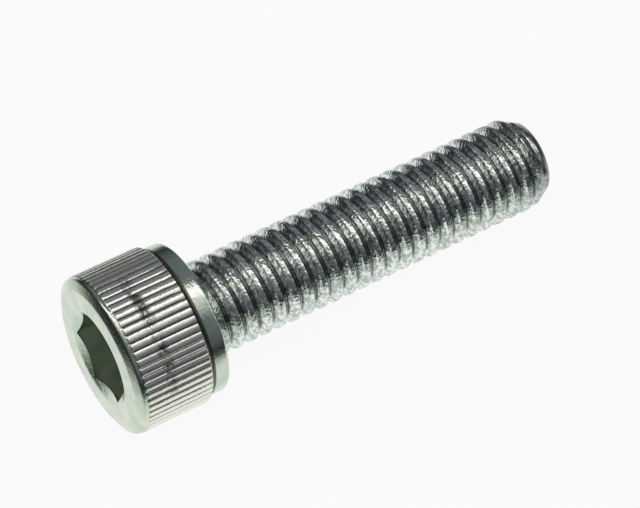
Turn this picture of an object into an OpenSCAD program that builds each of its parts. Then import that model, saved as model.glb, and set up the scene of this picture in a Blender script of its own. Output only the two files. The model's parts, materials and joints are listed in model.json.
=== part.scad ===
// Hex socket cap screw, M6 x 25, threaded over its whole length, with a straight-knurled head.
// It lies on its side as it comes to rest, on the knurl's rear end and on the last full thread.

/* [Thread] */
// Nominal diameter of the thread
thread_d = 6; // [4:0.1:8]
// How far the true major diameter lies under the nominal one
thread_allowance = 0.05; // [0:0.01:0.15]
// Pitch of the thread
pitch = 1; // [0.5:0.05:1.25]
// Length from the bearing face to the tip: nominally 25, here short by as much as the head is tall
length = 24.8; // [12:0.1:60]
// Length of the chamfer at the tip
tip_chamfer = 1.2; // [0.4:0.1:2]
// How far the tip's flat end lies inside the thread's core, on the radius
tip_inset = 0.06; // [0:0.01:0.3]

/* [Head] */
// Height of the head, a little over its nominal 6
head_h = 6.2; // [5:0.1:8]
// Diameter over the ridges of the knurl
knurl_d = 10.2; // [8.5:0.1:14]
// Step from the ridges down to the plain rim in front of them, on the radius
rim_step = 0.05; // [0.04:0.01:0.15]
// Step from the ridges down to the plain collar behind them, on the radius
collar_step = 0.28; // [0.24:0.01:0.4]
// Width of the front chamfer, on the radius
face_chamfer_w = 0.65; // [0.3:0.05:0.7]
// Depth of the front chamfer, along the axis
face_chamfer_h = 0.35; // [0.3:0.05:0.5]
// Bevel at the rear edge of the collar
collar_bevel = 0.15; // [0.05:0.01:0.3]
// Radius of the fillet between the bearing face and the shank
neck_fillet = 0.3; // [0.1:0.05:0.5]

/* [Knurl] */
// Number of ridges round the head
knurl_teeth = 60; // [40:2:80]
// Depth of the grooves between the ridges
knurl_depth = 0.15; // [0.1:0.01:0.22]
// Share of the spacing that a ridge's crown takes
knurl_crown = 0.5; // [0.2:0.05:0.6]
// Rise of the crown's middle over its shoulders
knurl_crown_h = 0.04; // [0.02:0.01:0.06]
// Distance from the front face to the start of the grooves
knurl_front = 0.56; // [0.54:0.02:1.2]
// Distance from the bearing face to the end of the ridges
knurl_rear = 1.1; // [0.9:0.05:1.6]
// Length over which the ridges slope down to the collar
knurl_runout = 0.25; // [0.25:0.05:0.4]

/* [Socket] */
// Size of the hexagon across its flats
hex_af = 5.05; // [3:0.05:6.1]
// Depth of the hexagon
hex_depth = 3.3; // [2:0.1:4]
// Depth of the cone at the bottom of the socket
hex_cone = 0.7; // [0.2:0.1:1]
// How far the round countersink reaches past the hexagon's corners, on the radius
countersink_margin = 0.13; // [0.05:0.01:0.2]
// Angle between the countersink's wall and the front face
countersink_deg = 30; // [20:5:50]
// Turn of the hexagon about the screw's axis
hex_turn = 12; // [0:1:59]

/* [Hidden] */
$fn = 96;

// Radii of the thread: its core lies 0.61343 pitches under the nominal radius
major_r = (thread_d - thread_allowance) / 2;
core_r = thread_d / 2 - 0.61343 * pitch;
tip_r = core_r - tip_inset;

// Radii of the head
knurl_r = knurl_d / 2;
groove_r = knurl_r - knurl_depth;
rim_r = knurl_r - rim_step;
collar_r = knurl_r - collar_step;
face_r = rim_r - face_chamfer_w;

// Places along the axis, counted from the front face
ridge_start = knurl_front - 0.04;
ridge_end = head_h - knurl_rear;
ridge_full = ridge_end - knurl_runout;
collar_end = head_h - collar_bevel;
tip_end = head_h + length;
tip_full = tip_end - tip_chamfer;

// Angles round the head that one spacing and one crown take
tooth_deg = 360 / knurl_teeth;
crown_deg = knurl_crown * tooth_deg;

// Radii of the socket: its bottom cone stays clear of the flats
hex_r = hex_af / 2 / cos(30);
cone_r = hex_af / 2 - 0.1;
countersink_r = hex_r + countersink_margin;
countersink_h = countersink_r * tan(countersink_deg);

// How far one solid starts inside another
sunk = 0.15;

// The ground touches the last full thread and whichever of ridges and collar it meets first
rest_r = knurl_r * cos(tooth_deg / 2);
ridge_slope = (rest_r - major_r) / (tip_full - ridge_full);
collar_slope = (collar_r - major_r) / (tip_full - collar_end);
lie_deg = atan(max(ridge_slope, collar_slope));
axis_z = tip_full * sin(lie_deg) + major_r * cos(lie_deg);
low_x = -face_r * sin(lie_deg);
high_x = tip_end * cos(lie_deg) + tip_r * sin(lie_deg);

// Points of the fillet under the head, from the bearing face to the shank: [radius, place]
function neck_points(steps = 4) = [
    for (i = [0 : steps])
        [
            major_r + neck_fillet * (1 - sin(90 * i / steps)),
            head_h + neck_fillet * (1 - cos(90 * i / steps))
        ]
];

// Turned body with its axis on Z: chamfer, rim, collar, neck, shank and tip
module turned_body() {
    rotate_extrude()
        polygon(concat(
            [
                [0, 0],
                [face_r, 0],
                [rim_r, face_chamfer_h],
                [rim_r, knurl_front],
                [collar_r, knurl_front + rim_r - collar_r],
                [collar_r, collar_end],
                [collar_r - collar_bevel, head_h]
            ],
            neck_points(),
            [
                [major_r, tip_full],
                [tip_r, tip_end],
                [0, tip_end]
            ]
        ));
}

// Outline of the knurl: crowned ridges with V grooves between them, one groove on +X
module knurl_outline() {
    corners = [
        [knurl_r - knurl_crown_h, -crown_deg / 2],
        [knurl_r, 0],
        [knurl_r - knurl_crown_h, crown_deg / 2],
        [groove_r, tooth_deg / 2]
    ];
    polygon([
        for (i = [0 : knurl_teeth - 1])
            for (corner = corners)
                let (turn = (i + 0.5) * tooth_deg + corner[1])
                    corner[0] * [cos(turn), sin(turn)]
    ]);
}

// Space that the ridges may fill: it rises from the rim and slopes down to the collar
module ridge_space() {
    sunk_a = ridge_end + sunk * knurl_runout / collar_step;
    rotate_extrude()
        polygon([
            [0, ridge_start - sunk],
            [rim_r - sunk, ridge_start - sunk],
            [knurl_r + sunk, ridge_start + rim_step + sunk],
            [knurl_r + sunk, ridge_full - sunk * knurl_runout / collar_step],
            [collar_r - sunk, sunk_a],
            [0, sunk_a]
        ]);
}

// The knurl's ridges, which the turned body fills inside
module ridges() {
    intersection() {
        linear_extrude(head_h)
            knurl_outline();
        ridge_space();
    }
}

// What is cut out for the key: hexagon, bottom cone and countersink
module socket() {
    rotate([0, 0, hex_turn])
        translate([0, 0, -sunk])
            cylinder(r = hex_r, h = hex_depth + sunk, $fn = 6);
    translate([0, 0, hex_depth - sunk])
        cylinder(r1 = cone_r, r2 = 0, h = hex_cone + sunk);
    translate([0, 0, -countersink_h])
        cylinder(r1 = 2 * countersink_r, r2 = 0, h = 2 * countersink_h);
}

// The whole screw, laid down: its tip dips until the last full thread touches the ground
module cap_screw() {
    color("#b4b8b2")
        translate([-(low_x + high_x) / 2, 0, axis_z])
            rotate([0, 90 + lie_deg, 0])
                difference() {
                    union() {
                        turned_body();
                        ridges();
                    }
                    socket();
                }
}

cap_screw();
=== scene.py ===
"""Looks of a hex socket cap screw: an M6 machine screw with a straight-knurled head, lying on its side."""

import json
import logging
import math
from collections.abc import Callable, Sequence
from dataclasses import dataclass, field
from enum import Enum

import bmesh
import bpy
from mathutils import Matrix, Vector


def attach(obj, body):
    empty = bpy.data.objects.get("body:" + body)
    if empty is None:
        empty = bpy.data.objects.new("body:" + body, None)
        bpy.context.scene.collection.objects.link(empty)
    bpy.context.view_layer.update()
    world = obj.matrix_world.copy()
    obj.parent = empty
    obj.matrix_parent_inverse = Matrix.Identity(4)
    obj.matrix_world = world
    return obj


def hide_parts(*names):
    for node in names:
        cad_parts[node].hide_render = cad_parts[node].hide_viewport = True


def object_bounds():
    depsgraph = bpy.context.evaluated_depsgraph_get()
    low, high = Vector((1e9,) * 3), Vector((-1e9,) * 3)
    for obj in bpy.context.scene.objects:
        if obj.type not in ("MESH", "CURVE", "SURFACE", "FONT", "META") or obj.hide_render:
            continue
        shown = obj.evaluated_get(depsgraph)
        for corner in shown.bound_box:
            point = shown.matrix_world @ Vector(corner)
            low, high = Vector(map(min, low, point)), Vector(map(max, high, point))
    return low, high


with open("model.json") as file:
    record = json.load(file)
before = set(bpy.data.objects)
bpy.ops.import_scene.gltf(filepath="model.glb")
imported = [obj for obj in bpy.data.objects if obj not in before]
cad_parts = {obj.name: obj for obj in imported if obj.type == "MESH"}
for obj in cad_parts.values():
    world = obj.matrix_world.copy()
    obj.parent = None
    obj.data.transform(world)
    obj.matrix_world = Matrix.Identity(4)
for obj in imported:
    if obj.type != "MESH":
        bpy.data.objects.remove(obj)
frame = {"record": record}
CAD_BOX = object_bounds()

LOG = logging.getLogger("cap_screw")
MOUNTS = {mount["name"]: mount for mount in frame["record"]["mounts"]}

# lengths in metres
MM = 0.001
WELD = 2e-6
FINE_WELD = WELD / 4
BISECT_REACH = 1e-9

ORIGIN = (0.0, 0.0, 0.0)
AXIS = (0.0, 0.0, 1.0)

# a Mix node names its number, vector and colour sockets alike, so the colour ones go by number
MIX_FIRST = 6
MIX_SECOND = 7
MIX_RESULT = 2


# ---------------------------------------------------------------- hand tools


def deselect_all() -> None:
    """Leave the edit mode and let go of every object."""
    if bpy.context.object and bpy.context.object.mode != "OBJECT":
        bpy.ops.object.mode_set(mode="OBJECT")
    bpy.ops.object.select_all(action="DESELECT")


def take_up(obj: bpy.types.Object) -> None:
    """Make one object the selected and active one.

    Args:
        obj: The object to work on.
    """
    deselect_all()
    obj.select_set(True)
    bpy.context.view_layer.objects.active = obj


def edit(obj: bpy.types.Object) -> None:
    """Open an object in edit mode, for work on its vertices, with all of them selected.

    Args:
        obj: The object to edit.
    """
    take_up(obj)
    bpy.ops.object.mode_set(mode="EDIT")
    bpy.ops.mesh.select_mode(type="VERT")
    bpy.ops.mesh.select_all(action="SELECT")


def pick_verts(obj: bpy.types.Object, wanted: Callable[[Vector], bool]) -> None:
    """Select the vertices whose place is wanted, and no others.

    Args:
        obj: The object in edit mode.
        wanted: Says whether a vertex at a place is to be selected.
    """
    bpy.ops.mesh.select_all(action="DESELECT")
    mesh = bmesh.from_edit_mesh(obj.data)
    for vert in mesh.verts:
        if wanted(vert.co):
            vert.select = True
    mesh.select_flush_mode()
    bmesh.update_edit_mesh(obj.data)


def draw_wire(name: str, pairs: Sequence[tuple[float, float]]) -> bpy.types.Object:
    """Draw a chain of edges by extruding one vertex again and again.

    Args:
        name: The new object's name.
        pairs: The chain's points as (radius, place along the axis) pairs in millimetres.

    Returns:
        The new object, in edit mode with all its vertices selected.
    """
    points = [Vector((r * MM, 0.0, z * MM)) for r, z in pairs]
    deselect_all()
    bpy.ops.mesh.primitive_plane_add(size=MM, location=ORIGIN)
    wire = bpy.context.object
    wire.name = name
    bpy.ops.object.mode_set(mode="EDIT")
    bpy.ops.mesh.select_mode(type="VERT")
    bpy.ops.mesh.merge(type="CENTER")
    bpy.ops.transform.translate(value=points[0])
    for start, end in zip(points, points[1:]):
        bpy.ops.mesh.extrude_vertices_move(TRANSFORM_OT_translate={"value": end - start})
    bpy.ops.mesh.select_all(action="SELECT")
    return wire


def arc(
    centre: tuple[float, float],
    radius: float,
    start: float,
    end: float,
    steps: int,
) -> list[tuple[float, float]]:
    """Work out the points of a round stretch of a profile.

    Args:
        centre: Its centre as (radius, place), in millimetres.
        radius: Its radius in millimetres.
        start: The angle in degrees at which it starts, from the outward direction.
        end: The angle in degrees at which it ends.
        steps: How many stretches it has.

    Returns:
        Its points as (radius, place) pairs.
    """
    turns = [math.radians(start + (end - start) * i / steps) for i in range(steps + 1)]
    return [(centre[0] + radius * math.cos(t), centre[1] + radius * math.sin(t)) for t in turns]


def turn_on_lathe(name: str, pairs: Sequence[tuple[float, float]], steps: int) -> bpy.types.Object:
    """Spin a profile that begins and ends on the axis into a closed solid.

    Args:
        name: The new object's name.
        pairs: The profile as (radius, place) pairs in millimetres.
        steps: How many faces go round.

    Returns:
        The closed solid.
    """
    solid = draw_wire(name, pairs)
    bpy.ops.mesh.spin(steps=steps, angle=math.tau, center=ORIGIN, axis=AXIS)
    bpy.ops.mesh.select_all(action="SELECT")
    bpy.ops.mesh.remove_doubles(threshold=WELD)
    bpy.ops.mesh.normals_make_consistent(inside=False)
    bpy.ops.object.mode_set(mode="OBJECT")
    return solid


class Cut(Enum):
    """How one solid works on another."""

    AWAY = "DIFFERENCE"
    COMMON = "INTERSECT"
    JOIN = "UNION"


def combine(body: bpy.types.Object, tool: bpy.types.Object, how: Cut) -> None:
    """Cut a body with a tool, or join the two, and put the tool away.

    Args:
        body: The solid that is changed.
        tool: The solid that is used up.
        how: What is done.
    """
    take_up(body)
    step = body.modifiers.new(how.name.lower(), "BOOLEAN")
    step.operation = how.value
    step.solver = "EXACT"
    step.object = tool
    bpy.ops.object.modifier_apply(modifier=step.name)
    bpy.data.objects.remove(tool)


# ---------------------------------------------------------------- the screw


def lie_turn() -> tuple[float, float, float]:
    """Give the Euler angles that lay the upright screw along the axis of the record's thread mount."""
    return (0.0, math.pi / 2 + math.asin(-MOUNTS["thread"]["axis"][2]), 0.0)


def lie_place() -> tuple[float, float, float]:
    """Give the centre of the front face, at the mouth of the record's key socket, in metres."""
    return tuple(MOUNTS["key_socket"]["pos_m"])


@dataclass
class Socket:
    """The hexagon for the key, with its countersink and the cone at its bottom. Sizes in millimetres."""

    across_flats: float = 5.05
    depth: float = 3.3
    cone_depth: float = 0.7
    cone_inset: float = 0.1  # how far the cone's rim lies inside the flats
    cone_overlap: float = 0.2  # how far the cone's cutter reaches into the hexagon's
    countersink_r: float = 3.046
    countersink_deg: float = 30.0
    lip_width: float = 0.05  # the narrow edge where the countersink meets the front face
    lip_depth: float = 0.03
    turn_deg: float = 12.0
    sides: int = 6
    cone_steps: int = 96
    countersink_steps: int = 192
    above: float = 1.0  # how far the cutter stands out of the front face

    def hexagon(self) -> bpy.types.Object:
        """Model the prism between the flats, with a corner at the socket's angle.

        Returns:
            The prism, from above the front face to the end of the flats.
        """
        deselect_all()
        bpy.ops.mesh.primitive_cylinder_add(
            vertices=self.sides,
            radius=self.across_flats / 2 / math.cos(math.pi / self.sides) * MM,
            depth=(self.depth + self.above) * MM,
            location=ORIGIN,
        )
        prism = bpy.context.object
        prism.name = "socket_cutter"
        corner = max((v.co for v in prism.data.vertices), key=lambda co: co.x)
        now = math.atan2(corner.y, corner.x)
        edit(prism)
        bpy.ops.transform.translate(value=(0.0, 0.0, (self.depth - self.above) / 2 * MM))
        # with no window this operator turns the other way
        turn_back = now - math.radians(self.turn_deg)
        bpy.ops.transform.rotate(value=turn_back, orient_axis="Z", center_override=ORIGIN)
        bpy.ops.object.mode_set(mode="OBJECT")
        return prism

    def cutter(self) -> bpy.types.Object:
        """Build the solid that cuts the socket.

        Returns:
            A closed solid that stands out of the front face.
        """
        cutter = self.hexagon()
        cone_r = self.across_flats / 2 - self.cone_inset
        cone = [
            (0.0, self.depth - self.cone_overlap),
            (cone_r, self.depth - self.cone_overlap),
            (cone_r, self.depth),
            (0.0, self.depth + self.cone_depth),
        ]
        combine(cutter, turn_on_lathe("bottom_cone", cone, self.cone_steps), Cut.JOIN)
        lip_r = self.countersink_r + self.lip_width
        slope = math.tan(math.radians(self.countersink_deg))
        countersink = [
            (0.0, -self.above),
            (lip_r + self.above, -self.above),
            (lip_r, 0.0),
            (self.countersink_r, self.lip_depth),
            (0.0, self.lip_depth + self.countersink_r * slope),
        ]
        combine(cutter, turn_on_lathe("countersink", countersink, self.countersink_steps), Cut.JOIN)
        return cutter


@dataclass
class Head:
    """The knurled head with its rim, collar and neck. Sizes in millimetres."""

    height: float = 6.2
    # the front face is filled in one piece out to here, and the bearing face has a ring of vertices here
    flat_r: float = 3.6
    face_r: float = 4.4
    # the rounded edge of the front face, as (radius beyond face_r, place) pairs
    face_edge: tuple[tuple[float, float], ...] = (
        (-0.02, 0.0),
        (0.03, 0.01),
        (0.1, 0.04),
        (0.52, 0.235),
        (0.57, 0.265),
        (0.615, 0.31),
        (0.64, 0.37),
    )
    rim_r: float = 5.05
    rim_start: float = 0.44
    ridge_r: float = 5.098
    teeth: int = 60
    columns: int = 16  # faces across one ridge
    crown_fall: float = 0.15  # how fast a ridge falls off from its middle
    flank_fall: float = 0.11  # how much faster it falls off on its flanks
    groove_share: float = 0.12  # the share of a ridge's half width that the groove's sharp bottom takes
    groove_cut: float = 0.035
    knurl_front: float = 0.56
    knurl_lead: float = 0.04  # how far before knurl_front a ridge begins to rise from the rim
    knurl_end: float = 5.1
    runout: float = 0.25
    # places where rows of vertices cross the knurl, at its front and from where it begins to run out
    front_rows: tuple[float, ...] = (0.52, 0.58, 0.64, 0.70, 0.78, 1.2, 2.6, 4.0)
    runout_rows: tuple[float, ...] = (0.0, 0.06, 0.12, 0.17)
    collar_r: float = 4.82
    step_depth: float = 0.03
    # places behind the knurl where the step before the collar begins, ends, and meets the collar
    step_places: tuple[float, float, float] = (0.04, 0.1, 0.13)
    bevel: float = 0.15
    bevel_lead: float = 0.08
    bevel_steps: int = 4
    neck_r: float = 2.7
    neck_fillet: float = 0.3
    fillet_steps: int = 5
    neck_end: float = 0.5  # this and the next four shape the stub that ends inside the shank
    stub_r: float = 2.42
    stub_taper: float = 1.3
    stub_end_r: float = 2.2
    stub_end: float = 1.5
    slack: float = 0.01  # how far a test for a place reaches beyond it
    least_change: float = 1e-7  # a change in radius by a smaller share than this is left out
    socket: Socket = field(default_factory=Socket)

    @property
    def tooth(self) -> float:
        """The angle of one ridge and one groove, in radians."""
        return math.tau / self.teeth

    def knurl_rows(self) -> list[float]:
        """Give the places where rows of vertices cross the knurl, close together at its two ends."""
        full = self.knurl_end - self.runout
        return [*self.front_rows, *[full + step for step in self.runout_rows], self.knurl_end]

    def outline(self) -> list[tuple[float, float]]:
        """Work out the head's profile between two grooves, from the front face to the neck.

        Returns:
            Its points as (radius, place) pairs.
        """
        back = self.height
        step_start, step_end, collar_start = (self.knurl_end + place for place in self.step_places)
        bevel_centre = (self.collar_r - self.bevel, back - self.bevel)
        fillet_centre = (self.neck_r + self.neck_fillet, back + self.neck_fillet)
        return [
            (self.flat_r, 0.0),
            *[(self.face_r + beyond, place) for beyond, place in self.face_edge],
            (self.rim_r, self.rim_start),
            *[(self.rim_r, row) for row in self.knurl_rows()],
            (self.collar_r - self.step_depth, step_start),
            (self.collar_r - self.step_depth, step_end),
            (self.collar_r, collar_start),
            (self.collar_r, back - self.bevel - self.bevel_lead),
            *arc(bevel_centre, self.bevel, 0.0, 90.0, self.bevel_steps),
            (self.flat_r, back),
            *arc(fillet_centre, self.neck_fillet, 270.0, 180.0, self.fillet_steps),
            (self.neck_r, back + self.neck_end),
            (self.stub_r, back + self.stub_taper),
            (self.stub_end_r, back + self.stub_end),
        ]

    def surface_r(self, turn: float, place: float) -> float:
        """Work out how far the knurled band stands from the axis.

        A ridge is crowned, falls off ever more steeply on its flanks, and ends in a sharper groove.

        Args:
            turn: The angle from the groove's middle, in radians.
            place: The place along the axis, in millimetres.

        Returns:
            The radius in millimetres.
        """
        half = self.tooth / 2
        off = abs(turn - half) / half
        fall_off = self.ridge_r * half * off**2 * (self.crown_fall + self.flank_fall * off**2)
        cut = self.groove_cut * max(0.0, off - 1 + self.groove_share) / self.groove_share
        ridge = self.ridge_r - fall_off - cut
        rise = self.rim_r + (place - self.knurl_front + self.knurl_lead)
        fade = self.collar_r + (self.knurl_end - place) * (self.ridge_r - self.collar_r) / self.runout
        rim = self.rim_r - max(0.0, place - self.knurl_front)
        return max(rim, min(ridge, rise, fade), self.collar_r)

    def sector(self) -> bpy.types.Object:
        """Model one ridge with half a groove on either side, over the head's whole height.

        Returns:
            A slice of the head's skin, in edit mode.
        """
        piece = draw_wire("head", self.outline())
        bpy.ops.mesh.spin(steps=self.columns, angle=self.tooth, center=ORIGIN, axis=AXIS)
        rows = self.knurl_rows()
        first, last = rows[0] - self.slack, rows[-1] + self.slack
        mesh = bmesh.from_edit_mesh(piece.data)
        band = [v.co.copy() for v in mesh.verts if first < v.co.z / MM < last]
        for place in band:
            turn = abs(math.atan2(place.y, place.x))
            factor = self.surface_r(turn, place.z / MM) * MM / math.hypot(place.x, place.y)
            if abs(factor - 1) < self.least_change:
                continue
            pick_verts(piece, lambda co, at=place: (co - at).length < WELD)
            bpy.ops.transform.resize(value=(factor, factor, 1.0), center_override=ORIGIN)
        return piece

    def build(self) -> bpy.types.Object:
        """Model the whole head with its socket.

        Returns:
            A closed solid with its front face at the origin and its neck along +Z.
        """
        head = self.sector()
        copies = self.teeth - 1
        bpy.ops.mesh.select_all(action="SELECT")
        bpy.ops.mesh.spin(steps=copies, dupli=True, angle=self.tooth * copies, center=ORIGIN, axis=AXIS)
        bpy.ops.mesh.select_all(action="SELECT")
        bpy.ops.mesh.remove_doubles(threshold=WELD)
        reach = (self.flat_r + self.slack) * MM
        for end in (0.0, (self.height + self.stub_end) * MM):
            pick_verts(head, lambda co, z=end: abs(co.z - z) < WELD and math.hypot(co.x, co.y) < reach)
            bpy.ops.mesh.edge_face_add()
        bpy.ops.mesh.select_all(action="SELECT")
        bpy.ops.mesh.normals_make_consistent(inside=False)
        bpy.ops.object.mode_set(mode="OBJECT")
        combine(head, self.socket.cutter(), Cut.AWAY)
        return head


@dataclass
class Thread:
    """The threaded shank with its chamfered tip. Sizes in millimetres."""

    pitch: float = 1.0
    crest_r: float = 2.975
    crest_half: float = 0.155
    # the crest's rounding, as (share of crest_half, drop) pairs, and its corner beyond that
    crest_drops: tuple[tuple[float, float], ...] = ((0.0, 0.0), (0.55, 0.004), (1.0, 0.014))
    corner_width: float = 0.03
    corner_drop: float = 0.04
    root_r: float = 2.42
    root_round: float = 0.09
    root_steps: int = 3
    flank_deg: float = 30.0
    first: float = 5.4
    bearing: float = 6.2
    run_in_r: float = 2.55
    run_in: float = 0.35
    run_in_slope: float = 1.6
    tip: float = 31.0
    tip_chamfer: float = 1.2
    tip_r: float = 2.327
    tip_edge: float = 0.05
    tip_inset: float = 0.06
    clearance: float = 0.1  # how far the turned-down form keeps from the crests and the rod's first cut
    spare: int = 2  # turns swept beyond either end and then cut off
    steps: int = 96

    def one_pitch(self) -> list[tuple[float, float]]:
        """Work out the profile from the middle of one crest to the middle of the next.

        Returns:
            Its points as (radius, place) pairs, with its start at place 0.
        """
        half = self.pitch / 2
        root_centre = (self.root_r + self.root_round, half)
        down = [
            *[(self.crest_r - drop, self.crest_half * share) for share, drop in self.crest_drops],
            (self.crest_r - self.corner_drop, self.crest_half + self.corner_width),
            *arc(root_centre, self.root_round, 270.0 - self.flank_deg, 180.0, self.root_steps),
        ]
        return down + [(r, self.pitch - z) for r, z in reversed(down[:-1])]

    def rod(self) -> bpy.types.Object:
        """Sweep the profile along its helix and close both ends.

        Returns:
            A closed threaded rod.
        """
        start = self.first - self.spare * self.pitch
        rod = draw_wire("thread", [(r, z + start) for r, z in self.one_pitch()])
        bpy.ops.object.mode_set(mode="OBJECT")
        sweep = rod.modifiers.new("helix", "SCREW")
        sweep.axis = "Z"
        sweep.angle = math.tau
        sweep.screw_offset = self.pitch * MM
        sweep.iterations = math.ceil((self.tip - self.first) / self.pitch) + 2 * self.spare
        sweep.steps = self.steps
        sweep.render_steps = self.steps
        sweep.use_merge_vertices = False
        bpy.ops.object.modifier_apply(modifier=sweep.name)
        edit(rod)
        bpy.ops.mesh.remove_doubles(threshold=WELD)
        for place, outward in ((self.first, -1.0), (self.tip + self.pitch, 1.0)):
            bpy.ops.mesh.select_all(action="SELECT")
            bpy.ops.mesh.bisect(
                plane_co=(0.0, 0.0, place * MM),
                plane_no=(0.0, 0.0, outward),
                use_fill=True,
                clear_outer=True,
                threshold=BISECT_REACH,
            )
        bpy.ops.mesh.select_all(action="SELECT")
        bpy.ops.mesh.normals_make_consistent(inside=False)
        bpy.ops.object.mode_set(mode="OBJECT")
        return rod

    def build(self) -> bpy.types.Object:
        """Model the shank: a threaded rod turned down at both ends.

        Returns:
            A closed solid that starts inside the head.
        """
        rod = self.rod()
        start = self.first + self.clearance
        clear_r = self.crest_r + self.clearance
        shoulder = self.bearing + self.run_in
        chamfer = (self.crest_r - self.tip_r) / self.tip_chamfer
        turned_down = [
            (0.0, start),
            (self.run_in_r, start),
            (self.run_in_r, shoulder),
            (clear_r, shoulder + (clear_r - self.run_in_r) * self.run_in_slope),
            (clear_r, self.tip - self.tip_chamfer - (clear_r - self.crest_r) / chamfer),
            (self.tip_r + self.tip_edge * chamfer, self.tip - self.tip_edge),
            (self.tip_r - self.tip_inset, self.tip),
            (0.0, self.tip),
        ]
        combine(rod, turn_on_lathe("turned_down", turned_down, 2 * self.steps), Cut.COMMON)
        return rod


@dataclass
class CapScrew:
    """The whole screw as one solid, laid down where the frame has it."""

    head: Head = field(default_factory=Head)
    thread: Thread = field(default_factory=Thread)
    smooth_deg: float = 32.0

    def build(self) -> bpy.types.Object:
        """Model the screw upright, join head and shank, and lay it down.

        Returns:
            The finished piece.
        """
        screw = self.head.build()
        LOG.info("head has %d faces", len(screw.data.polygons))
        shank = self.thread.build()
        LOG.info("shank has %d faces", len(shank.data.polygons))
        combine(screw, shank, Cut.JOIN)
        screw.name = screw.data.name = "threaded_cap_screw"
        self.clean(screw)
        self.lay_down(screw)
        bpy.ops.object.shade_smooth_by_angle(angle=math.radians(self.smooth_deg))
        even = screw.modifiers.new("even_normals", "WEIGHTED_NORMAL")
        even.keep_sharp = True
        bpy.ops.object.modifier_apply(modifier=even.name)
        return screw

    def clean(self, screw: bpy.types.Object) -> None:
        """Weld what the cuts left double, take loose bits away and turn the faces out.

        Args:
            screw: The upright screw.
        """
        edit(screw)
        bpy.ops.mesh.remove_doubles(threshold=FINE_WELD)
        bpy.ops.mesh.dissolve_degenerate(threshold=FINE_WELD)
        bpy.ops.mesh.select_all(action="SELECT")
        bpy.ops.mesh.remove_doubles(threshold=FINE_WELD)
        bpy.ops.mesh.delete_loose(use_verts=True, use_edges=True, use_faces=False)
        bpy.ops.mesh.select_all(action="SELECT")
        bpy.ops.mesh.normals_make_consistent(inside=False)
        bpy.ops.object.mode_set(mode="OBJECT")

    def lay_down(self, screw: bpy.types.Object) -> None:
        """Move the finished mesh from the origin to the place of the CAD node.

        Args:
            screw: The upright screw.
        """
        take_up(screw)
        screw.rotation_euler = lie_turn()
        screw.location = lie_place()
        bpy.ops.object.transform_apply(location=True, rotation=True, scale=True)

    def dress(self, screw: bpy.types.Object) -> None:
        """Plate the screw.

        Args:
            screw: The finished piece.
        """
        screw.data.materials.clear()
        screw.data.materials.append(BrightZinc(self.head, self.thread).make())


# ---------------------------------------------------------------- finishes


def linear(code: str) -> tuple[float, float, float, float]:
    """Turn an sRGB hex colour into a linear one.

    Args:
        code: The colour, such as #FFFFFF.

    Returns:
        Its linear red, green and blue, and an alpha of 1.
    """
    parts = [int(code[i : i + 2], 16) / 255 for i in (1, 3, 5)]
    made = [c / 12.92 if c <= 0.04045 else ((c + 0.055) / 1.055) ** 2.4 for c in parts]
    return (made[0], made[1], made[2], 1.0)


def add_node(
    tree: bpy.types.NodeTree,
    kind: str,
    settings: dict | None = None,
    links: dict | None = None,
) -> bpy.types.Node:
    """Add one node with its settings and links.

    Args:
        tree: The node tree.
        kind: The node's type name.
        settings: Attributes, and values of input sockets by name or number.
        links: What feeds each input socket, by name or number.

    Returns:
        The new node.
    """
    node = tree.nodes.new(kind)
    for key, value in (settings or {}).items():
        if isinstance(key, int) or key in node.inputs:
            node.inputs[key].default_value = value
        else:
            setattr(node, key, value)
    for key, source in (links or {}).items():
        tree.links.new(source, node.inputs[key])
    return node


class Measure(Enum):
    """What tells where a place on the screw lies."""

    FAR = "distance from the axis"
    ALONG = "distance from the front face, along the axis"
    SIDE = "distance from the axis towards the rubbed side"


@dataclass(frozen=True)
class Edge:
    """A soft edge of a zone: nothing at the outside place, all at the inside one, in millimetres."""

    measure: Measure
    outside: float
    inside: float


@dataclass(frozen=True)
class Zone:
    """A part of the screw's surface inside some soft edges, with how strongly it counts."""

    edges: tuple[Edge, ...]
    share: float = 1.0


@dataclass(frozen=True)
class ScrewSpace:
    """The screw's own space in a material: its turned coordinates and the measures taken from them."""

    tree: bpy.types.NodeTree
    place: bpy.types.NodeSocket
    measures: dict[Measure, bpy.types.NodeSocket]

    def inside(self, zone: Zone) -> bpy.types.NodeSocket:
        """Mark one zone, as the product of its share and all its soft edges.

        Args:
            zone: The zone.

        Returns:
            Its share inside and 0 outside.
        """
        level = None
        for edge in zone.edges:
            rising = edge.outside < edge.inside
            step = add_node(
                self.tree,
                "ShaderNodeMapRange",
                {
                    "interpolation_type": "SMOOTHSTEP",
                    "From Min": min(edge.outside, edge.inside) * MM,
                    "From Max": max(edge.outside, edge.inside) * MM,
                    "To Min": 0.0 if rising else 1.0,
                    "To Max": 1.0 if rising else 0.0,
                },
                {"Value": self.measures[edge.measure]},
            )
            links = {0: step.outputs["Result"]}
            if level is not None:
                links[1] = level
            held = add_node(self.tree, "ShaderNodeMath", {"operation": "MULTIPLY", 1: zone.share}, links)
            level = held.outputs["Value"]
        return level

    def inside_any(self, first: Zone, *others: Zone) -> bpy.types.NodeSocket:
        """Mark several zones, the strongest one where they overlap.

        Args:
            first: One zone.
            others: The other zones.

        Returns:
            The largest share of the zones that a place lies in, and 0 outside them all.
        """
        level = self.inside(first)
        for zone in others:
            links = {0: level, 1: self.inside(zone)}
            level = add_node(self.tree, "ShaderNodeMath", {"operation": "MAXIMUM"}, links).outputs["Value"]
        return level


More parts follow.
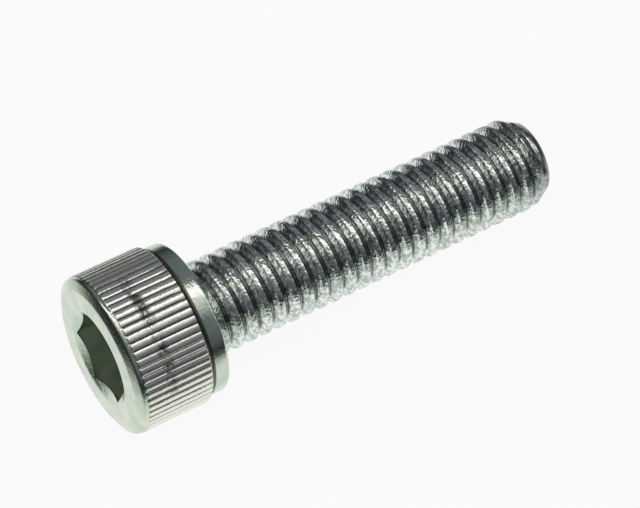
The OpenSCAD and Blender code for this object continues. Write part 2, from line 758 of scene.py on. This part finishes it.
@dataclass(frozen=True)
class BrightZinc:
    """Bright zinc plating on forged and rolled steel. Sizes in millimetres.

    The fine-grained deposit gives a cool white metal with a faint green cast and soft-edged highlights. The
    grooves of the knurl, the step before the collar, the thread's roots and the socket get painted shade, a
    dark colour, and are duller. Handling has rubbed a belt of dark spots into the upper side of the knurl.
    """

    head: Head
    thread: Thread
    cool: str = "#BFD5C2"
    warm: str = "#DFE4D0"
    drift: float = 1.3
    ridge: str = "#F0F2E4"
    thread_bright: str = "#F1F7F2"
    thread_dull: str = "#B3C1B7"
    fleck: float = 0.33
    # the dark colour of painted shade in the knurl's grooves, the step before the collar, the thread's roots
    # and the socket, and of the rubbed spots
    painted_shade_and_wear: str = "#43463F"
    # how strongly painted shade darkens each recess
    groove_shade: float = 0.94
    step_shade: float = 0.8
    root_shade: float = 0.66
    socket_shade: float = 0.02
    rubbed_spot: float = 0.6
    rubbed_thin: float = 0.9
    rubbed_side: tuple[float, float, float] = (-0.867, -0.498, 0.0)
    roughness: float = 0.15
    dull_roughness: float = 0.42
    shade_and_wear_dulling: float = 0.6
    ridge_dulling: float = 0.3
    grain: float = 0.2
    grain_height: float = 0.016
    dent: float = 0.175
    dent_height: float = 0.034

    def screw_space(self, tree: bpy.types.NodeTree) -> ScrewSpace:
        """Turn Object coordinates so that Z runs along the screw from its front face.

        Args:
            tree: The node tree.

        Returns:
            The screw's own space.
        """
        place = add_node(tree, "ShaderNodeTexCoord")
        turned = add_node(
            tree,
            "ShaderNodeMapping",
            {"vector_type": "TEXTURE", "Location": lie_place(), "Rotation": lie_turn()},
            {"Vector": place.outputs["Object"]},
        ).outputs["Vector"]
        parts = add_node(tree, "ShaderNodeSeparateXYZ", links={"Vector": turned})
        across = {"X": parts.outputs["X"], "Y": parts.outputs["Y"]}
        flat = add_node(tree, "ShaderNodeCombineXYZ", links=across)
        far = add_node(tree, "ShaderNodeVectorMath", {"operation": "LENGTH"}, {0: flat.outputs["Vector"]})
        side = add_node(
            tree,
            "ShaderNodeVectorMath",
            {"operation": "DOT_PRODUCT", 1: self.rubbed_side},
            {0: turned},
        )
        measures = {
            Measure.FAR: far.outputs["Value"],
            Measure.ALONG: parts.outputs["Z"],
            Measure.SIDE: side.outputs["Value"],
        }
        return ScrewSpace(tree, turned, measures)

    def knurl_edges(self) -> tuple[Edge, ...]:
        """Bound the knurled band, ridges and grooves alike."""
        head = self.head
        return (
            Edge(Measure.ALONG, head.knurl_front, head.knurl_front + 0.1),
            Edge(Measure.ALONG, head.knurl_end + 0.02, head.knurl_end - 0.08),
            Edge(Measure.FAR, head.collar_r + 0.02, head.collar_r + 0.05),
        )

    def socket_edges(self) -> tuple[Edge, ...]:
        """Bound the socket below its countersink, down to its bottom."""
        bottom = self.head.socket.depth + self.head.socket.cone_depth
        return (
            Edge(Measure.FAR, 3.0, 2.9),
            Edge(Measure.ALONG, 0.1, 0.6),
            Edge(Measure.ALONG, bottom + 1.0, bottom + 0.8),
        )

    def recesses(self) -> list[Zone]:
        """Bound the recesses that get painted shade, each with how dark the shade is painted.

        Returns:
            The knurl's grooves, the step before the collar, the thread's roots and the socket.
        """
        head = self.head
        thread = self.thread
        chamfer = thread.tip - thread.tip_chamfer
        grooves = (
            *self.knurl_edges(),
            Edge(Measure.FAR, head.ridge_r - 0.04, head.ridge_r - 0.064),
        )
        step = (
            Edge(Measure.FAR, head.rim_r, head.rim_r - 0.15),
            Edge(Measure.FAR, head.collar_r - 0.22, head.collar_r - 0.12),
            Edge(Measure.ALONG, head.knurl_end - 0.12, head.knurl_end - 0.04),
            Edge(Measure.ALONG, head.knurl_end + 0.18, head.knurl_end + 0.12),
        )
        roots = (
            Edge(Measure.FAR, thread.root_r + 0.2, thread.root_r + 0.06),
            Edge(Measure.ALONG, thread.bearing, thread.bearing + 0.2),
            Edge(Measure.ALONG, chamfer + 0.4, chamfer),
        )
        return [
            Zone(grooves, self.groove_shade),
            Zone(step, self.step_shade),
            Zone(roots, self.root_shade),
            Zone(self.socket_edges(), self.socket_shade),
        ]

    def rubbed(self, space: ScrewSpace) -> bpy.types.NodeSocket:
        """Find the dark rubbed spots in a belt round the upper side of the knurl.

        Args:
            space: The screw's own space.

        Returns:
            Up to rubbed_thin in the spots and 0 outside.
        """
        tree = space.tree
        spots = add_node(
            tree,
            "ShaderNodeTexNoise",
            {"Scale": 1.0 / (self.rubbed_spot * MM), "Detail": 4.0, "Roughness": 0.75},
            {"Vector": space.place},
        )
        patchy = add_node(
            tree,
            "ShaderNodeMapRange",
            {
                "interpolation_type": "SMOOTHSTEP",
                "From Min": 0.43,
                "From Max": 0.58,
                "To Max": self.rubbed_thin,
            },
            {"Value": spots.outputs["Fac"]},
        )
        belt = (
            Edge(Measure.ALONG, 1.75, 2.1),
            Edge(Measure.ALONG, 2.8, 2.4),
            Edge(Measure.SIDE, 3.0, 4.3),
        )
        spotted_belt = add_node(
            tree,
            "ShaderNodeMath",
            {"operation": "MULTIPLY"},
            {0: patchy.outputs["Result"], 1: space.inside(Zone(belt))},
        )
        return spotted_belt.outputs["Value"]

    def colour(self, space: ScrewSpace, painted_shade_and_wear: bpy.types.NodeSocket) -> bpy.types.NodeSocket:
        """Work out the metal's colour.

        Args:
            space: The screw's own space.
            painted_shade_and_wear: How strongly a place gets painted shade in the recesses, or the dark of
                the rubbed spots.

        Returns:
            The colour.
        """
        tree = space.tree
        # the passivation's tint drifts slowly over the head between cool and warm
        drift = add_node(
            tree,
            "ShaderNodeTexNoise",
            {"Scale": 1.0 / (self.drift * MM), "Detail": 3.0},
            {"Vector": space.place},
        )
        spread = add_node(
            tree,
            "ShaderNodeMapRange",
            {"From Min": 0.35, "From Max": 0.65},
            {"Value": drift.outputs["Fac"]},
        )
        head = add_node(
            tree,
            "ShaderNodeMix",
            {"data_type": "RGBA", MIX_FIRST: linear(self.cool), MIX_SECOND: linear(self.warm)},
            {"Factor": spread.outputs["Result"]},
        )
        # the rolling dies burnished spots on the thread and left it duller between them
        flecks = add_node(
            tree,
            "ShaderNodeTexNoise",
            {"Scale": 1.0 / (self.fleck * MM), "Detail": 2.0, "Roughness": 0.6},
            {"Vector": space.place},
        )
        burnished = add_node(
            tree,
            "ShaderNodeMapRange",
            {"interpolation_type": "SMOOTHSTEP", "From Min": 0.4, "From Max": 0.6},
            {"Value": flecks.outputs["Fac"]},
        )
        thread = add_node(
            tree,
            "ShaderNodeMix",
            {
                "data_type": "RGBA",
                MIX_FIRST: linear(self.thread_dull),
                MIX_SECOND: linear(self.thread_bright),
            },
            {"Factor": burnished.outputs["Result"]},
        )
        bearing = self.thread.bearing
        behind_head = Zone((Edge(Measure.ALONG, bearing - 0.2, bearing + 0.2),))
        metal = add_node(
            tree,
            "ShaderNodeMix",
            {"data_type": "RGBA"},
            {
                "Factor": space.inside(behind_head),
                MIX_FIRST: head.outputs[MIX_RESULT],
                MIX_SECOND: thread.outputs[MIX_RESULT],
            },
        )
        # the ridges of the knurl stand out brighter than the smooth faces
        ridged = add_node(
            tree,
            "ShaderNodeMix",
            {"data_type": "RGBA", MIX_SECOND: linear(self.ridge)},
            {"Factor": space.inside(Zone(self.knurl_edges())), MIX_FIRST: metal.outputs[MIX_RESULT]},
        )
        # painted shade darkens the recesses, and wear darkens the rubbed spots
        skin = add_node(
            tree,
            "ShaderNodeMix",
            {"data_type": "RGBA", MIX_SECOND: linear(self.painted_shade_and_wear)},
            {"Factor": painted_shade_and_wear, MIX_FIRST: ridged.outputs[MIX_RESULT]},
        )
        return skin.outputs[MIX_RESULT]

    def dullness(
        self,
        space: ScrewSpace,
        painted_shade_and_wear: bpy.types.NodeSocket,
        rubbed: bpy.types.NodeSocket,
    ) -> bpy.types.NodeSocket:
        """Work out the roughness: matt in the socket and the rubbed spots, satin on the knurl, else glossy.

        Args:
            space: The screw's own space.
            painted_shade_and_wear: How strongly a place gets painted shade in the recesses, or the dark of
                the rubbed spots.
            rubbed: How much a place is rubbed.

        Returns:
            The roughness.
        """
        tree = space.tree
        worked = space.inside_any(Zone(self.socket_edges()), Zone(self.knurl_edges(), self.ridge_dulling))
        dulled_shade_and_wear = add_node(tree, "ShaderNodeMath", {"operation": "MULTIPLY", 1: self.shade_and_wear_dulling}, {0: painted_shade_and_wear})
        for other in (dulled_shade_and_wear.outputs["Value"], rubbed):
            most = add_node(tree, "ShaderNodeMath", {"operation": "MAXIMUM"}, {0: worked, 1: other})
            worked = most.outputs["Value"]
        rough = add_node(
            tree,
            "ShaderNodeMapRange",
            {"To Min": self.roughness, "To Max": self.dull_roughness},
            {"Value": worked},
        )
        return rough.outputs["Result"]

    def relief(self, space: ScrewSpace) -> bpy.types.NodeSocket:
        """Work out the fine relief of the surface.

        Args:
            space: The screw's own space.

        Returns:
            The bent normal.
        """
        tree = space.tree
        thread = self.thread
        # crystals of the deposit, drawn coarser than they are so that they break up the highlights
        grain = add_node(
            tree,
            "ShaderNodeTexNoise",
            {"Scale": 1.0 / (self.grain * MM), "Detail": 3.0, "Roughness": 0.6},
            {"Vector": space.place},
        )
        # small dents that the rolling dies left on the thread, drawn coarse enough to glint
        dents = add_node(
            tree,
            "ShaderNodeTexNoise",
            {"Scale": 1.0 / (self.dent * MM), "Detail": 0.6, "Roughness": 0.5},
            {"Vector": space.place},
        )
        threaded = (
            Edge(Measure.ALONG, thread.bearing - 0.2, thread.bearing + 0.2),
            Edge(Measure.FAR, thread.crest_r + 0.225, thread.crest_r + 0.125),
            Edge(Measure.ALONG, thread.tip - 0.4, thread.tip - 1.1),
        )
        dented = add_node(
            tree,
            "ShaderNodeMath",
            {"operation": "MULTIPLY_ADD"},
            {
                0: dents.outputs["Fac"],
                1: space.inside(Zone(threaded, self.dent_height / self.grain_height)),
                2: grain.outputs["Fac"],
            },
        )
        bump = add_node(
            tree,
            "ShaderNodeBump",
            {"Strength": 1.0, "Distance": self.grain_height * MM},
            {"Height": dented.outputs["Value"]},
        )
        return bump.outputs["Normal"]

    def make(self) -> bpy.types.Material:
        """Build the material.

        Returns:
            The finished material.
        """
        material = bpy.data.materials.new("bright_zinc_plating")
        material.use_nodes = True
        tree = material.node_tree
        tree.nodes.clear()
        space = self.screw_space(tree)
        rubbed = self.rubbed(space)
        # painted shade in the recesses, together with the dark rubbed spots
        painted_shade_and_wear = add_node(
            tree,
            "ShaderNodeMath",
            {"operation": "MAXIMUM"},
            {0: space.inside_any(*self.recesses()), 1: rubbed},
        ).outputs["Value"]
        shader = add_node(
            tree,
            "ShaderNodeBsdfPrincipled",
            {"Metallic": 1.0},
            {
                "Base Color": self.colour(space, painted_shade_and_wear),
                "Roughness": self.dullness(space, painted_shade_and_wear, rubbed),
                "Normal": self.relief(space),
            },
        )
        add_node(tree, "ShaderNodeOutputMaterial", links={"Surface": shader.outputs["BSDF"]})
        return material


@dataclass(frozen=True)
class MattPaper:
    """Smooth matt white paper under the screw, uncoated, so that it has no gloss. Sizes in millimetres.

    It is seen plain white with a soft shadow. What the screw mirrors of it is a painted fall-off of light: it
    darkens with the distance from the middle, first to dusk and then to dark, so that the bright metal keeps
    its contrast.
    """

    white: str = "#FFFFFF"
    # painted fall-off of light, seen only in what the screw mirrors
    dusk: str = "#606265"
    dark: str = "#2E3033"
    middle: tuple[float, float] = (-6.0, 2.0)
    dusk_start: float = 13.0
    dusk_end: float = 38.0
    dark_start: float = 36.0
    dark_end: float = 54.0
    least_dusk: float = 0.06
    glow_share: float = 0.92

    def tone(self, tree: bpy.types.NodeTree, looked_at: bpy.types.NodeSocket) -> bpy.types.NodeSocket:
        """Work out the paper's colour, with the painted fall-off of light in what the screw mirrors.

        Args:
            tree: The node tree.
            looked_at: 1 where the camera sees the paper itself, and 0 for all other rays.

        Returns:
            The colour.
        """
        place = add_node(tree, "ShaderNodeTexCoord")
        centred = add_node(
            tree,
            "ShaderNodeMapping",
            {"Location": (-self.middle[0] * MM, -self.middle[1] * MM, 0.0)},
            {"Vector": place.outputs["Object"]},
        )
        away = add_node(tree, "ShaderNodeVectorMath", {"operation": "LENGTH"}, {0: centred.outputs["Vector"]})
        fade = add_node(
            tree,
            "ShaderNodeMapRange",
            {
                "interpolation_type": "SMOOTHSTEP",
                "From Min": self.dusk_start * MM,
                "From Max": self.dusk_end * MM,
                "To Min": self.least_dusk,
            },
            {"Value": away.outputs["Value"]},
        )
        farther = add_node(
            tree,
            "ShaderNodeMapRange",
            {
                "interpolation_type": "SMOOTHSTEP",
                "From Min": self.dark_start * MM,
                "From Max": self.dark_end * MM,
            },
            {"Value": away.outputs["Value"]},
        )
        unseen = add_node(tree, "ShaderNodeMath", {"operation": "SUBTRACT", 0: 1.0}, {1: looked_at})
        dim = add_node(
            tree,
            "ShaderNodeMath",
            {"operation": "MULTIPLY"},
            {0: fade.outputs["Result"], 1: unseen.outputs["Value"]},
        )
        dusk = add_node(
            tree,
            "ShaderNodeMix",
            {"data_type": "RGBA", MIX_FIRST: linear(self.dusk), MIX_SECOND: linear(self.dark)},
            {"Factor": farther.outputs["Result"]},
        )
        tone = add_node(
            tree,
            "ShaderNodeMix",
            {"data_type": "RGBA", MIX_FIRST: linear(self.white)},
            {"Factor": dim.outputs["Value"], MIX_SECOND: dusk.outputs[MIX_RESULT]},
        )
        return tone.outputs[MIX_RESULT]

    def make(self) -> bpy.types.Material:
        """Build the material.

        Returns:
            The finished material.
        """
        material = bpy.data.materials.new("matt_white_paper")
        material.use_nodes = True
        tree = material.node_tree
        tree.nodes.clear()
        rays = add_node(tree, "ShaderNodeLightPath")
        tone = self.tone(tree, rays.outputs["Is Camera Ray"])
        paint = add_node(tree, "ShaderNodeBsdfDiffuse", links={"Color": tone})
        glow = add_node(tree, "ShaderNodeEmission", {"Strength": 1.0}, {"Color": tone})
        seen = rays.outputs["Is Camera Ray"]
        for kind in ("Is Glossy Ray", "Is Transmission Ray"):
            links = {0: seen, 1: rays.outputs[kind]}
            seen = add_node(tree, "ShaderNodeMath", {"operation": "ADD"}, links).outputs["Value"]
        share = add_node(tree, "ShaderNodeMath", {"operation": "MULTIPLY", 1: self.glow_share}, {0: seen})
        both = add_node(
            tree,
            "ShaderNodeMixShader",
            links={0: share.outputs["Value"], 1: paint.outputs["BSDF"], 2: glow.outputs["Emission"]},
        )
        add_node(tree, "ShaderNodeOutputMaterial", links={"Surface": both.outputs["Shader"]})
        return material


# ---------------------------------------------------------------- studio


@dataclass(frozen=True)
class Softbox:
    """One long softbox that hangs level over the screw, with its long sides square to the camera's view.

    Across is how far its middle lies from the screw, away from the camera, and along how far towards the
    camera's right. Sizes in millimetres, power in watts.
    """

    name: str
    across: float
    width: float
    power: float
    along: float = 300.0
    length: float = 2000.0
    height: float = 400.0
    colour: str = "#FFF4F3"

    def hang(self, turn: float) -> None:
        """Put the softbox up.

        Args:
            turn: The camera's azimuth in radians.
        """
        data = bpy.data.lights.new(self.name, "AREA")
        data.shape = "RECTANGLE"
        data.size = self.length * MM
        data.size_y = self.width * MM
        data.energy = self.power
        data.color = linear(self.colour)[:3]
        lamp = bpy.data.objects.new(self.name, data)
        away = Vector((-math.sin(turn), math.cos(turn), 0.0)) * self.across
        right = Vector((math.cos(turn), math.sin(turn), 0.0)) * self.along
        lamp.location = (away + right + Vector((0.0, 0.0, self.height))) * MM
        lamp.rotation_euler = (0.0, 0.0, turn)
        bpy.context.scene.collection.objects.link(lamp)


@dataclass
class Studio:
    """A plain pale floor, soft lights and the camera. Sizes in millimetres."""

    azimuth_deg: float = -32.027
    elevation_deg: float = 56.796
    distance: float = 186.17
    aim_offset: tuple[float, float, float] = (-0.141, -0.399, -0.269)
    lens: float = 172.66
    sensor: float = 36.0
    clip_start: float = 10.0
    clip_end: float = 10000.0
    floor_size: float = 3000.0
    # a bright strip, its dimmer skirt on the camera's side, and a faint one beyond that
    softboxes: tuple[Softbox, ...] = (
        Softbox("strip_softbox", across=89.0, width=74.0, power=1.0),
        Softbox("strip_skirt", across=-8.0, width=120.0, power=0.46),
        Softbox("far_skirt", across=-115.0, width=90.0, power=0.17),
    )
    room_low: str = "#2A2C30"
    room_high: str = "#74777F"
    room_lean: float = 0.35  # how far the brighter side of the room leans from overhead towards +X

    def floor(self) -> None:
        """Lay the floor that the screw rests on."""
        deselect_all()
        bpy.ops.mesh.primitive_plane_add(size=self.floor_size * MM, location=ORIGIN)
        floor = bpy.context.object
        floor.name = "floor"
        floor.data.materials.append(MattPaper().make())

    def room(self) -> None:
        """Close the set with a dim room that grows brighter upwards."""
        world = bpy.data.worlds.new("dim_room")
        bpy.context.scene.world = world
        world.use_nodes = True
        tree = world.node_tree
        tree.nodes.clear()
        place = add_node(tree, "ShaderNodeTexCoord")
        parts = add_node(tree, "ShaderNodeSeparateXYZ", links={"Vector": place.outputs["Generated"]})
        leaning = add_node(
            tree,
            "ShaderNodeMath",
            {"operation": "MULTIPLY_ADD", 1: self.room_lean},
            {0: parts.outputs["X"], 2: parts.outputs["Z"]},
        )
        rise = add_node(
            tree,
            "ShaderNodeMapRange",
            {"interpolation_type": "SMOOTHSTEP", "From Min": -0.3, "From Max": 0.8},
            {"Value": leaning.outputs["Value"]},
        )
        tone = add_node(
            tree,
            "ShaderNodeMix",
            {"data_type": "RGBA", MIX_FIRST: linear(self.room_low), MIX_SECOND: linear(self.room_high)},
            {"Factor": rise.outputs["Result"]},
        )
        room = add_node(tree, "ShaderNodeBackground", {"Strength": 1.0}, {"Color": tone.outputs[MIX_RESULT]})
        add_node(tree, "ShaderNodeOutputWorld", links={"Surface": room.outputs["Background"]})

    def camera(self) -> None:
        """Set up the camera."""
        low, high = CAD_BOX
        aim = (low + high) / 2 + Vector(self.aim_offset) * MM
        azimuth = math.radians(self.azimuth_deg)
        elevation = math.radians(self.elevation_deg)
        level = math.cos(elevation)
        back = Vector((math.sin(azimuth) * level, -math.cos(azimuth) * level, math.sin(elevation)))
        data = bpy.data.cameras.new("camera")
        data.lens = self.lens
        data.sensor_width = self.sensor
        data.clip_start = self.clip_start * MM
        data.clip_end = self.clip_end * MM
        camera = bpy.data.objects.new("camera", data)
        camera.location = aim + back * self.distance * MM
        camera.rotation_mode = "QUATERNION"
        camera.rotation_quaternion = (-back).to_track_quat("-Z", "Y")
        bpy.context.scene.collection.objects.link(camera)
        bpy.context.scene.camera = camera

    def build(self) -> None:
        """Set up floor, lights, room and camera."""
        self.floor()
        for softbox in self.softboxes:
            softbox.hang(math.radians(self.azimuth_deg))
        self.room()
        self.camera()
        bpy.context.scene.view_settings.view_transform = "Standard"


def main() -> None:
    """Build the screw, dress it and set up the studio."""
    logging.basicConfig(level=logging.INFO, format="%(message)s")
    design = CapScrew()
    screw = design.build()
    design.dress(screw)
    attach(screw, "root")
    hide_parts("cap_screw")
    LOG.info("%s: %d faces", screw.name, len(screw.data.polygons))
    Studio().build()


if __name__ == "__main__":
    main()
